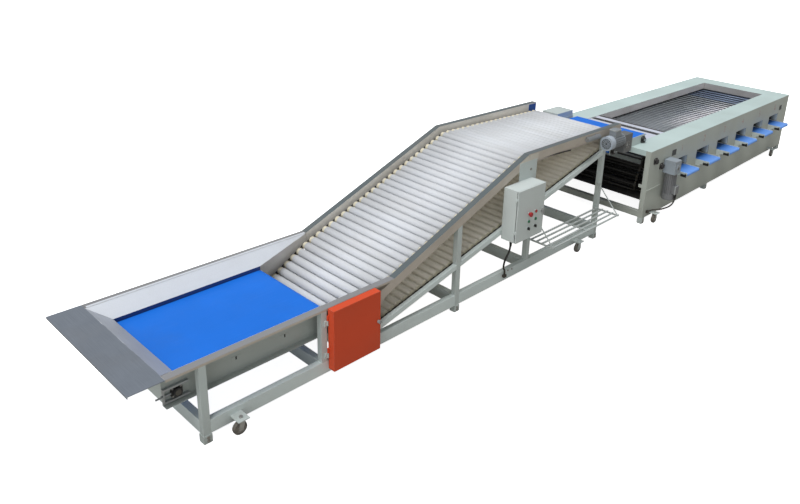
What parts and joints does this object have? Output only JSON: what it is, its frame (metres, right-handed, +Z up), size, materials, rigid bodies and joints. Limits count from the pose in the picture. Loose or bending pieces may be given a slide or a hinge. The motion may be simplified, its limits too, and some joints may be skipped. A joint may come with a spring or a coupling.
{
  "type": "potato grading line",
  "caption": "Loading hopper with belt, bent roller elevator, feed belt and rod grader whose growing gaps drop potatoes by size onto side outlet belts.",
  "frame": {"origin": "On the floor below the middle of the machine's outline", "axes": "+X along the crop's way from hopper to grader, -Y to the operator's side, +Z up"},
  "size_m": [10.288, 1.8463, 1.2844],
  "materials": {
    "stainless": "brushed sheet",
    "grey_green_paint": "satin paint",
    "rail_paint": "satin paint, worn",
    "blue_belt": "smooth satin belt cover",
    "roller_sleeve": "matt sleeve",
    "bare_steel": "bare steel",
    "black_casting": "black enamel",
    "orange_paint": "satin paint",
    "black_plastic": "matt",
    "cabinet_paint": "fine texture paint",
    "red_plastic": "gloss",
    "green_plastic": "gloss",
    "cable_black": "matt jacket",
    "gearmotor_paint": "satin paint",
    "zinc_fork": "zinc plated",
    "wheel_rubber": "matt tread"
  },
  "bodies": {
    "machine": {"hopper_plates": "stainless", "belt_channels": "grey_green_paint", "hopper_belt": "blue_belt", "takeups": "bare_steel", "side_rails": "rail_paint", "drive_chains": "bare_steel", "elevator_rollers": "roller_sleeve", "flange_bearings": "black_casting", "legs": "grey_green_paint", "frame_beams": "grey_green_paint", "levelling_feet": "grey_green_paint", "tool_shelf": "bare_steel", "caster_plates": "grey_green_paint", "control_box": "cabinet_paint", "box_bracket": "grey_green_paint", "power_cables": "cable_black", "cable_fittings": "black_plastic", "feed_belt": "blue_belt", "feed_frame": "grey_green_paint", "grader_frame": "grey_green_paint", "grader_panels": "grey_green_paint", "top_cover": "grey_green_paint", "inner_walls": "stainless", "grading_rods": "bare_steel", "worm_gearboxes": "gearmotor_paint", "drive_motors": "gearmotor_paint", "outlet_frames": "grey_green_paint", "outlet_belts": "blue_belt"},
    "head_shaft": {"head_shaft": "bare_steel"},
    "tail_shaft": {"tail_shaft": "bare_steel"},
    "hopper_head_drum": {"hopper_head_drum": "bare_steel"},
    "hopper_tail_drum": {"hopper_tail_drum": "bare_steel"},
    "feed_tail_drum": {"feed_tail_drum": "bare_steel"},
    "feed_head_drum": {"feed_head_drum": "bare_steel"},
    "grader_drive_shaft": {"grader_drive_shaft": "bare_steel"},
    "grader_tail_shaft": {"grader_tail_shaft": "bare_steel"},
    "outlet_front_rollers": {"outlet_front_rollers": "bare_steel"},
    "outlet_drive_shaft": {"outlet_drive_shaft": "bare_steel"},
    "fork_elevator_front_near": {"fork_elevator_front_near": "zinc_fork"},
    "wheel_elevator_front_near": {"wheel_elevator_front_near": "wheel_rubber"},
    "fork_elevator_front_far": {"fork_elevator_front_far": "zinc_fork"},
    "wheel_elevator_front_far": {"wheel_elevator_front_far": "wheel_rubber"},
    "wheel_elevator_rear_near": {"wheel_elevator_rear_near": "wheel_rubber"},
    "wheel_elevator_rear_far": {"wheel_elevator_rear_far": "wheel_rubber"},
    "fork_grader_front_near": {"fork_grader_front_near": "zinc_fork"},
    "wheel_grader_front_near": {"wheel_grader_front_near": "wheel_rubber"},
    "fork_grader_front_far": {"fork_grader_front_far": "zinc_fork"},
    "wheel_grader_front_far": {"wheel_grader_front_far": "wheel_rubber"},
    "wheel_grader_rear_near": {"wheel_grader_rear_near": "wheel_rubber"},
    "wheel_grader_rear_far": {"wheel_grader_rear_far": "wheel_rubber"},
    "guard_door": {"guard_door": "orange_paint"},
    "guard_latch": {"guard_latch": "black_plastic"},
    "box_door": {"box_door": "cabinet_paint"},
    "door_handle": {"door_handle": "black_plastic"},
    "estop_button": {"estop_button": "red_plastic"},
    "stop_button": {"stop_button": "red_plastic"},
    "start_button_left": {"start_button_left": "green_plastic"},
    "start_button_right": {"start_button_right": "green_plastic"},
    "selector_left": {"selector_left": "black_plastic"},
    "selector_right": {"selector_right": "black_plastic"}
  },
  "joints": [
    {"name": "elevator_drive", "type": "hinge", "parent": "machine", "child": "head_shaft", "pos_m": [0.106, 0.03815, 1.0914], "axis": [0, 1, 0], "continuous": true},
    {"name": "elevator_tail_spin", "type": "hinge", "parent": "machine", "child": "tail_shaft", "pos_m": [-3.464, 0.03815, 0.20815], "axis": [0, 1, 0], "continuous": true},
    {"name": "hopper_head_spin", "type": "hinge", "parent": "machine", "child": "hopper_head_drum", "pos_m": [-3.634, 0.03815, 0.4237], "axis": [0, 1, 0], "continuous": true},
    {"name": "hopper_tail_spin", "type": "hinge", "parent": "machine", "child": "hopper_tail_drum", "pos_m": [-4.813, 0.03815, 0.4237], "axis": [0, 1, 0], "continuous": true},
    {"name": "feed_tail_spin", "type": "hinge", "parent": "machine", "child": "feed_tail_drum", "pos_m": [0.251, 0.03815, 0.9257], "axis": [0, 1, 0], "continuous": true},
    {"name": "feed_head_spin", "type": "hinge", "parent": "machine", "child": "feed_head_drum", "pos_m": [0.928, 0.03815, 0.9257], "axis": [0, 1, 0], "continuous": true},
    {"name": "grader_drive", "type": "hinge", "parent": "machine", "child": "grader_drive_shaft", "pos_m": [1.091, 0.03815, 0.64], "axis": [0, 1, 0], "continuous": true},
    {"name": "grader_tail_spin", "type": "hinge", "parent": "machine", "child": "grader_tail_shaft", "pos_m": [4.916, 0.03815, 0.64], "axis": [0, 1, 0], "continuous": true},
    {"name": "outlet_front_spin", "type": "hinge", "parent": "machine", "child": "outlet_front_rollers", "pos_m": [2.869, -0.90185, 0.505], "axis": [1, 0, 0], "continuous": true},
    {"name": "outlet_drive_spin", "type": "hinge", "parent": "machine", "child": "outlet_drive_shaft", "pos_m": [2.869, 0.59815, 0.505], "axis": [1, 0, 0], "continuous": true},
    {"name": "swivel_elevator_front_near", "type": "hinge", "parent": "machine", "child": "fork_elevator_front_near", "pos_m": [-4.48, -0.62685, 0.1175], "axis": [0, 0, 1], "continuous": true},
    {"name": "roll_elevator_front_near", "type": "hinge", "parent": "fork_elevator_front_near", "child": "wheel_elevator_front_near", "pos_m": [-4.494, -0.62685, 0.052], "axis": [0, 1, 0], "continuous": true},
    {"name": "swivel_elevator_front_far", "type": "hinge", "parent": "machine", "child": "fork_elevator_front_far", "pos_m": [-4.48, 0.70315, 0.1175], "axis": [0, 0, 1], "continuous": true},
    {"name": "roll_elevator_front_far", "type": "hinge", "parent": "fork_elevator_front_far", "child": "wheel_elevator_front_far", "pos_m": [-4.494, 0.70315, 0.052], "axis": [0, 1, 0], "continuous": true},
    {"name": "roll_elevator_rear_near", "type": "hinge", "parent": "machine", "child": "wheel_elevator_rear_near", "pos_m": [-0.508, -0.62685, 0.052], "axis": [0, 1, 0], "continuous": true},
    {"name": "roll_elevator_rear_far", "type": "hinge", "parent": "machine", "child": "wheel_elevator_rear_far", "pos_m": [-0.508, 0.70315, 0.052], "axis": [0, 1, 0], "continuous": true},
    {"name": "swivel_grader_front_near", "type": "hinge", "parent": "machine", "child": "fork_grader_front_near", "pos_m": [0.846, -0.80485, 0.1175], "axis": [0, 0, 1], "continuous": true},
    {"name": "roll_grader_front_near", "type": "hinge", "parent": "fork_grader_front_near", "child": "wheel_grader_front_near", "pos_m": [0.832, -0.80485, 0.052], "axis": [0, 1, 0], "continuous": true},
    {"name": "swivel_grader_front_far", "type": "hinge", "parent": "machine", "child": "fork_grader_front_far", "pos_m": [0.846, 0.88115, 0.1175], "axis": [0, 0, 1], "continuous": true},
    {"name": "roll_grader_front_far", "type": "hinge", "parent": "fork_grader_front_far", "child": "wheel_grader_front_far", "pos_m": [0.832, 0.88115, 0.052], "axis": [0, 1, 0], "continuous": true},
    {"name": "roll_grader_rear_near", "type": "hinge", "parent": "machine", "child": "wheel_grader_rear_near", "pos_m": [4.602, -0.80485, 0.052], "axis": [0, 1, 0], "continuous": true},
    {"name": "roll_grader_rear_far", "type": "hinge", "parent": "machine", "child": "wheel_grader_rear_far", "pos_m": [4.602, 0.88115, 0.052], "axis": [0, 1, 0], "continuous": true},
    {"name": "guard_swing", "type": "hinge", "parent": "machine", "child": "guard_door", "pos_m": [-3.725, -0.57185, 0.34858], "axis": [0, 0, -1], "range_deg": [0, 90]},
    {"name": "latch_turn", "type": "hinge", "parent": "guard_door", "child": "guard_latch", "pos_m": [-3.294, -0.63385, 0.34615], "axis": [0, 1, 0], "range_deg": [0, 90]},
    {"name": "box_door_swing", "type": "hinge", "parent": "machine", "child": "box_door", "pos_m": [-1.765, -0.71585, 0.785], "axis": [0, 0, -1], "range_deg": [0, 110]},
    {"name": "handle_turn", "type": "hinge", "parent": "box_door", "child": "door_handle", "pos_m": [-1.393, -0.73785, 0.769], "axis": [0, 1, 0], "range_deg": [0, 90]},
    {"name": "estop_push", "type": "slide", "parent": "box_door", "child": "estop_button", "axis": [0, 1, 0], "range_m": [0, 0.004], "stiffness_N_per_m": 1500},
    {"name": "stop_push", "type": "slide", "parent": "box_door", "child": "stop_button", "axis": [0, 1, 0], "range_m": [0, 0.004], "stiffness_N_per_m": 800},
    {"name": "start_left_push", "type": "slide", "parent": "box_door", "child": "start_button_left", "axis": [0, 1, 0], "range_m": [0, 0.004], "stiffness_N_per_m": 800},
    {"name": "start_right_push", "type": "slide", "parent": "box_door", "child": "start_button_right", "axis": [0, 1, 0], "range_m": [0, 0.004], "stiffness_N_per_m": 800},
    {"name": "selector_left_turn", "type": "hinge", "parent": "box_door", "child": "selector_left", "pos_m": [-1.592, -0.73785, 0.641], "axis": [0, 1, 0], "range_deg": [-45, 45]},
    {"name": "selector_right_turn", "type": "hinge", "parent": "box_door", "child": "selector_right", "pos_m": [-1.49, -0.73785, 0.641], "axis": [0, 1, 0], "range_deg": [-45, 45]}
  ],
  "couplings": [
    {"joint": "elevator_tail_spin", "follows": "elevator_drive", "ratio": 1},
    {"joint": "hopper_head_spin", "follows": "elevator_drive", "ratio": 1},
    {"joint": "hopper_tail_spin", "follows": "elevator_drive", "ratio": 1},
    {"joint": "feed_tail_spin", "follows": "elevator_drive", "ratio": 2},
    {"joint": "feed_head_spin", "follows": "elevator_drive", "ratio": 2},
    {"joint": "grader_tail_spin", "follows": "grader_drive", "ratio": 1},
    {"joint": "outlet_front_spin", "follows": "grader_drive", "ratio": 2},
    {"joint": "outlet_drive_spin", "follows": "grader_drive", "ratio": 2}
  ]
}
